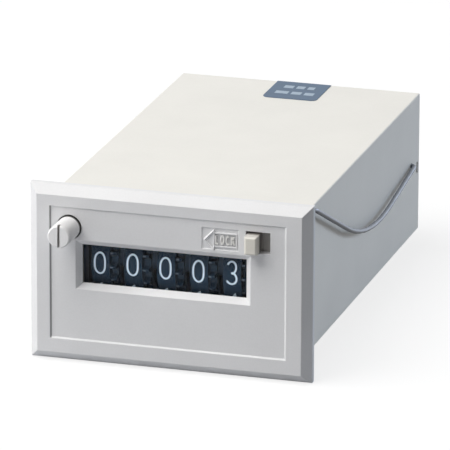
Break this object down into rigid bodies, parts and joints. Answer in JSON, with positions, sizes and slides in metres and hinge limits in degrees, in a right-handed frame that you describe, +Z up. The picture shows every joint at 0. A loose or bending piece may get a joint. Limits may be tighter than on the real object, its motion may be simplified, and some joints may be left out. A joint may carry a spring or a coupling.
{
  "type": "panel counter",
  "caption": "Rectangular panel counter with a bevelled digit window, a push reset knob, a lock slider, a long plain housing and a wire bail that clamps it in a panel cut-out.",
  "frame": {"origin": "centre of the bezel flange's rear face, on the plane of the panel's front", "axes": "+X right as seen from the front, +Y into the panel along the housing, +Z up"},
  "size_m": [0.06, 0.1115, 0.0376],
  "materials": {
    "bezel_grey": "fine moulded grain",
    "clear_lens": "clear",
    "knob_white": "satin",
    "spring_steel": "drawn wire",
    "sheet_steel": "zinc plated",
    "slider_beige": "satin",
    "housing_white": "fine moulded grain",
    "cover_grey": "fine moulded grain",
    "label_film": "satin film",
    "bail_wire": "drawn wire",
    "screw_steel": "nickel plated",
    "shaft_steel": "ground",
    "wheel_black": "satin black",
    "pinion_plastic": "natural",
    "magnet_iron": "zinc plated iron",
    "bobbin_brown": "moulded",
    "copper_winding": "enamelled wire",
    "terminal_brass": "stamped",
    "lead_red": "insulation"
  },
  "bodies": {
    "counter": {"front_bezel": "bezel_grey", "window_lens": "clear_lens", "housing": "housing_white", "rear_cover": "cover_grey", "top_label": "label_film", "chassis": "sheet_steel", "chassis_screws": "screw_steel", "wheel_shaft": "shaft_steel", "pinion_shaft": "shaft_steel", "shaft_clips": "spring_steel", "spacer_bushes": "pinion_plastic", "yoke": "magnet_iron", "core": "magnet_iron", "coil_bobbin": "bobbin_brown", "coil_winding": "copper_winding", "armature_pin": "shaft_steel", "armature_spring": "spring_steel", "reset_spring": "spring_steel", "terminal_plates": "terminal_brass", "terminal_screws": "screw_steel", "lead_wires": "lead_red"},
    "reset": {"reset_button": "knob_white", "reset_comb": "sheet_steel"},
    "lock": {"lock_slider": "slider_beige"},
    "bail": {"mounting_bail": "bail_wire"},
    "wheel_ten_thousands": {"digit_wheel_ten_thousands": "wheel_black"},
    "wheel_thousands": {"digit_wheel_thousands": "wheel_black"},
    "wheel_hundreds": {"digit_wheel_hundreds": "wheel_black"},
    "wheel_tens": {"digit_wheel_tens": "wheel_black"},
    "wheel_units": {"digit_wheel_units": "wheel_black"},
    "pinion_1": {"transfer_pinion_1": "pinion_plastic"},
    "pinion_2": {"transfer_pinion_2": "pinion_plastic"},
    "pinion_3": {"transfer_pinion_3": "pinion_plastic"},
    "pinion_4": {"transfer_pinion_4": "pinion_plastic"},
    "magnet_arm": {"armature": "magnet_iron", "pallet": "pinion_plastic"}
  },
  "joints": [
    {"name": "reset_press", "type": "slide", "parent": "counter", "child": "reset", "axis": [0, 1, 0], "range_m": [0, 0.004], "stiffness_N_per_m": 400, "springref_m": -0.005, "deforming": ["reset_spring"]},
    {"name": "lock_slide", "type": "slide", "parent": "counter", "child": "lock", "axis": [1, 0, 0], "range_m": [0, 0.0017]},
    {"name": "bail_swing", "type": "hinge", "parent": "counter", "child": "bail", "pos_m": [0, 0.0885, 0.0008], "axis": [-1, 0, 0], "range_deg": [0, 170]},
    {"name": "wheel_ten_thousands_turn", "type": "hinge", "parent": "counter", "child": "wheel_ten_thousands", "pos_m": [-0.01545, 0.0095, 0.0022], "axis": [-1, 0, 0], "continuous": true},
    {"name": "wheel_thousands_turn", "type": "hinge", "parent": "counter", "child": "wheel_thousands", "pos_m": [-0.00845, 0.0095, 0.0022], "axis": [-1, 0, 0], "continuous": true},
    {"name": "wheel_hundreds_turn", "type": "hinge", "parent": "counter", "child": "wheel_hundreds", "pos_m": [-0.00145, 0.0095, 0.0022], "axis": [-1, 0, 0], "continuous": true},
    {"name": "wheel_tens_turn", "type": "hinge", "parent": "counter", "child": "wheel_tens", "pos_m": [0.00555, 0.0095, 0.0022], "axis": [-1, 0, 0], "continuous": true},
    {"name": "wheel_units_turn", "type": "hinge", "parent": "counter", "child": "wheel_units", "pos_m": [0.01255, 0.0095, 0.0022], "axis": [-1, 0, 0], "continuous": true},
    {"name": "pinion_1_turn", "type": "hinge", "parent": "counter", "child": "pinion_1", "pos_m": [-0.01185, 0.02185, 0.00317], "axis": [-1, 0, 0], "continuous": true},
    {"name": "pinion_2_turn", "type": "hinge", "parent": "counter", "child": "pinion_2", "pos_m": [-0.00485, 0.02185, 0.00317], "axis": [-1, 0, 0], "continuous": true},
    {"name": "pinion_3_turn", "type": "hinge", "parent": "counter", "child": "pinion_3", "pos_m": [0.00215, 0.02185, 0.00317], "axis": [-1, 0, 0], "continuous": true},
    {"name": "pinion_4_turn", "type": "hinge", "parent": "counter", "child": "pinion_4", "pos_m": [0.00915, 0.02185, 0.00317], "axis": [-1, 0, 0], "continuous": true},
    {"name": "armature_rock", "type": "hinge", "parent": "counter", "child": "magnet_arm", "pos_m": [0, 0.0376, -0.009], "axis": [-1, 0, 0], "range_deg": [0, 4], "stiffness_Nm_per_rad": 0.05, "springref_deg": -5.73, "deforming": ["armature_spring"]}
  ],
  "couplings": [
    {"joint": "pinion_1_turn", "follows": "wheel_ten_thousands_turn", "ratio": -2.5},
    {"joint": "pinion_2_turn", "follows": "wheel_thousands_turn", "ratio": -2.5},
    {"joint": "pinion_3_turn", "follows": "wheel_hundreds_turn", "ratio": -2.5},
    {"joint": "pinion_4_turn", "follows": "wheel_tens_turn", "ratio": -2.5}
  ]
}
